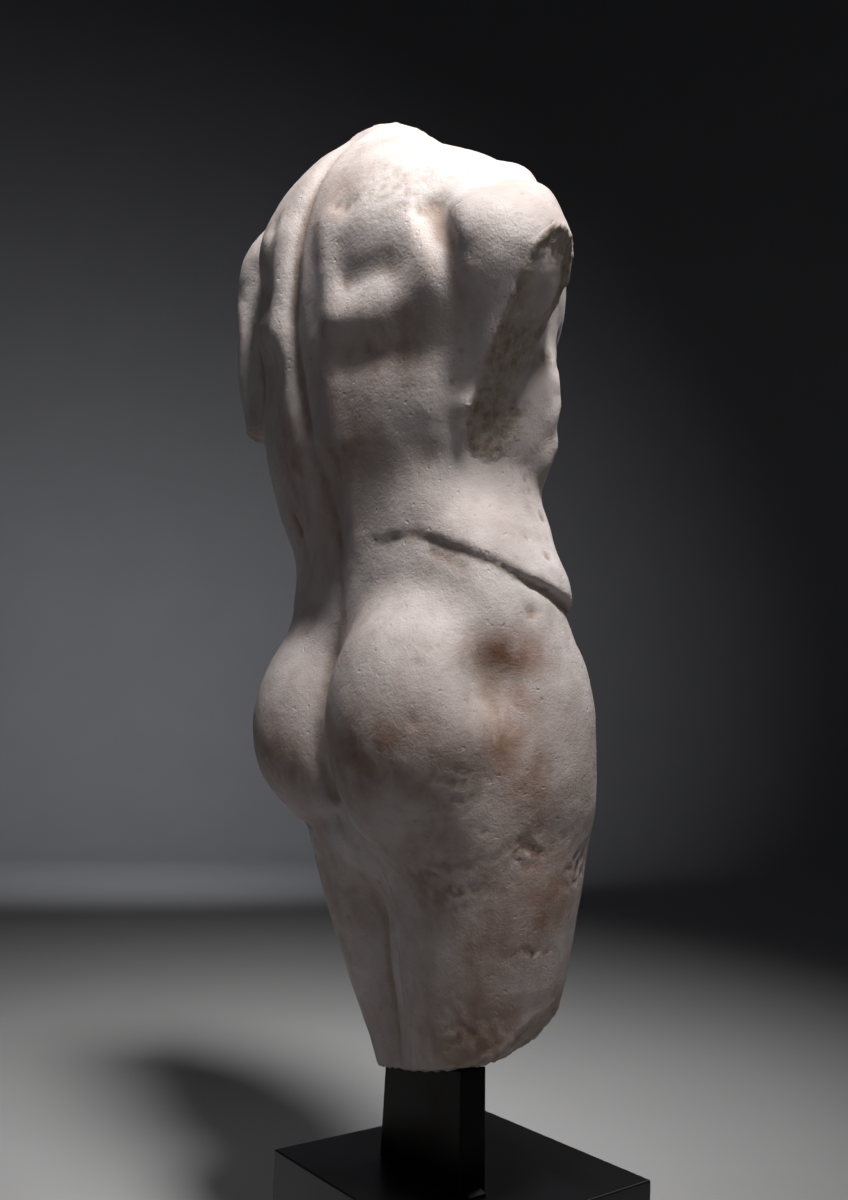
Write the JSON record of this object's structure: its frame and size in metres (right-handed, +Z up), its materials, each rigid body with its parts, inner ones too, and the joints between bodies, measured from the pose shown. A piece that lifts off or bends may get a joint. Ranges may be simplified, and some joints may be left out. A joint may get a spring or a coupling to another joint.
{
  "type": "marble torso sculpture",
  "caption": "Weathered marble torso of a standing nude figure, broken at neck, arms and thighs, held by a dark steel post on a square block.",
  "frame": {"origin": "middle of the block's underside", "axes": "+Z up, -Y the way the figure faces, +X towards the figure's left side"},
  "size_m": [0.4242, 0.3037, 1.0256],
  "materials": {
    "marble": "weathered white marble with brown patina, matte",
    "post_steel": "dark bronzed steel, satin",
    "block_lacquer": "black lacquered wood, satin"
  },
  "bodies": {
    "root": {"torso": "marble", "post": "post_steel", "base": "block_lacquer"}
  },
  "joints": []
}
